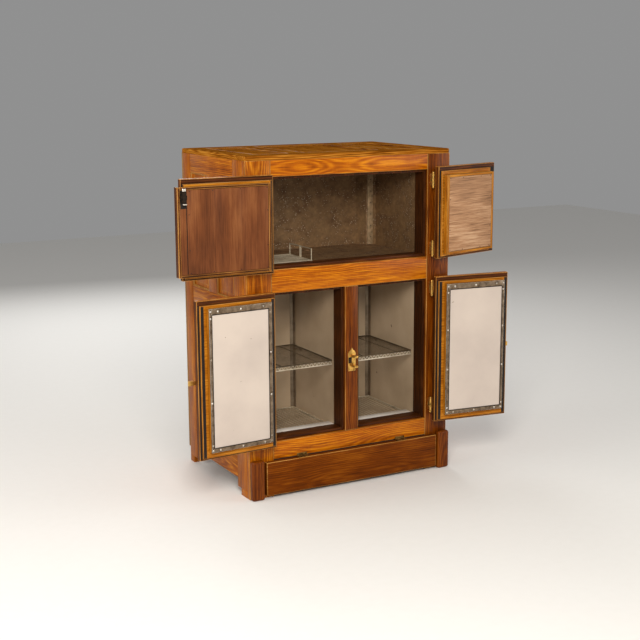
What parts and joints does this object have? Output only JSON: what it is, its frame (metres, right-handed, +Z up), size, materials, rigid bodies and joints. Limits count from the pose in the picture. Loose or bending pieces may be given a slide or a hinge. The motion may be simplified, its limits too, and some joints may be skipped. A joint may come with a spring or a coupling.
{
  "type": "icebox cabinet",
  "caption": "Panelled oak icebox with a metal-lined ice chamber over two enamelled food compartments, stepped insulated doors on pin hinges, wire shelves and a drip pan behind a kick flap.",
  "frame": {"origin": "on the floor under the middle of the case", "axes": "+Z up, the doors' side faces -Y, +X to the right of someone facing the doors"},
  "size_m": [1.354, 0.6731, 1.22],
  "materials": {
    "oak": "gloss",
    "oak_inner": "satin",
    "pine": "matte",
    "cork": "matte",
    "galvanised": "satin",
    "enamel": "gloss",
    "steel_strip": "satin",
    "wire": "satin",
    "brass": "polished"
  },
  "bodies": {
    "cabinet": {"stiles": "oak", "front_rails": "oak", "mullion": "oak", "side_frames": "oak", "side_panels": "oak", "back_boards": "pine", "decks": "pine", "top_frame": "oak", "top_panels": "oak", "jambs": "oak_inner", "ice_liner": "galvanised", "food_liner_left": "enamel", "food_liner_right": "enamel", "partition": "pine", "insulation": "cork", "drain_pipe": "galvanised", "compartment_trim": "steel_strip", "foot_blocks": "oak", "hinges_case": "brass", "keepers": "brass"},
    "door_ul": {"frame_ul": "oak", "panel_ul": "oak", "plug_ul": "oak_inner", "board_ul": "oak_inner", "hinges_ul": "brass", "strike_ul": "brass", "elbow_base": "brass"},
    "elbow": {"elbow_lever": "brass"},
    "door_ur": {"frame_ur": "oak", "panel_ur": "oak", "plug_ur": "oak_inner", "board_ur": "oak_inner", "hinges_ur": "brass", "latch_case_ur": "brass"},
    "lever_ur": {"latch_lever_ur": "brass"},
    "door_ll": {"frame_ll": "oak", "panel_ll": "oak", "plug_ll": "oak_inner", "sheet_ll": "enamel", "strips_ll": "steel_strip", "hinges_ll": "brass", "latch_case_ll": "brass"},
    "lever_ll": {"latch_lever_ll": "brass"},
    "door_lr": {"frame_lr": "oak", "panel_lr": "oak", "plug_lr": "oak_inner", "sheet_lr": "enamel", "strips_lr": "steel_strip", "hinges_lr": "brass", "latch_case_lr": "brass"},
    "lever_lr": {"latch_lever_lr": "brass"},
    "shelf_l": {"shelf_left": "wire"},
    "shelf_r": {"shelf_right": "wire"},
    "rack_l": {"floor_rack_left": "wire"},
    "rack_r": {"floor_rack_right": "wire"},
    "ice_rack": {"ice_rack": "wire"},
    "drip_pan": {"drip_pan": "galvanised"},
    "flap": {"kick_flap": "oak", "flap_hinges": "brass"}
  },
  "joints": [
    {"name": "hinge_ul", "type": "hinge", "parent": "cabinet", "child": "door_ul", "pos_m": [-0.33, -0.303, 0.9], "axis": [0, 0, -1], "range_deg": [-180, 15]},
    {"name": "hinge_ur", "type": "hinge", "parent": "cabinet", "child": "door_ur", "pos_m": [0.33, -0.303, 0.9], "axis": [0, 0, 1], "range_deg": [-194, 1]},
    {"name": "hinge_ll", "type": "hinge", "parent": "cabinet", "child": "door_ll", "pos_m": [-0.33, -0.303, 0.48], "axis": [0, 0, -1], "range_deg": [-176, 19]},
    {"name": "hinge_lr", "type": "hinge", "parent": "cabinet", "child": "door_lr", "pos_m": [0.33, -0.303, 0.48], "axis": [0, 0, 1], "range_deg": [-173, 22]},
    {"name": "lever_turn_ur", "type": "hinge", "parent": "door_ur", "child": "lever_ur", "pos_m": [0.62388, -0.22509, 0.985], "axis": [0, 0, -1], "range_deg": [0, 25]},
    {"name": "lever_turn_ll", "type": "hinge", "parent": "door_ll", "child": "lever_ll", "pos_m": [-0.62489, -0.31911, 0.468], "axis": [0, 0, 1], "range_deg": [0, 25]},
    {"name": "lever_turn_lr", "type": "hinge", "parent": "door_lr", "child": "lever_lr", "pos_m": [0.62365, -0.33452, 0.468], "axis": [0, 0, -1], "range_deg": [0, 25]},
    {"name": "elbow_turn", "type": "hinge", "parent": "door_ul", "child": "elbow", "pos_m": [-0.676, -0.3645, 1.102], "axis": [-1, 0, 0], "range_deg": [-12, 12], "stiffness_Nm_per_rad": 0.06},
    {"name": "flap_turn", "type": "hinge", "parent": "cabinet", "child": "flap", "pos_m": [0, -0.2812, 0.1387], "axis": [-1, 0, 0], "range_deg": [0, 85]},
    {"name": "shelf_slide_left", "type": "slide", "parent": "cabinet", "child": "shelf_l", "axis": [0, -1, 0], "range_m": [0, 0.25]},
    {"name": "shelf_slide_right", "type": "slide", "parent": "cabinet", "child": "shelf_r", "axis": [0, -1, 0], "range_m": [0, 0.25]},
    {"name": "rack_lift_left", "type": "slide", "parent": "cabinet", "child": "rack_l", "axis": [0, 0, 1], "range_m": [0, 0.12]},
    {"name": "rack_lift_right", "type": "slide", "parent": "cabinet", "child": "rack_r", "axis": [0, 0, 1], "range_m": [0, 0.12]},
    {"name": "ice_rack_lift", "type": "slide", "parent": "cabinet", "child": "ice_rack", "axis": [0, 0, 1], "range_m": [0, 0.12]},
    {"name": "pan_slide", "type": "slide", "parent": "cabinet", "child": "drip_pan", "axis": [0, -1, 0], "range_m": [0, 0.1]}
  ]
}
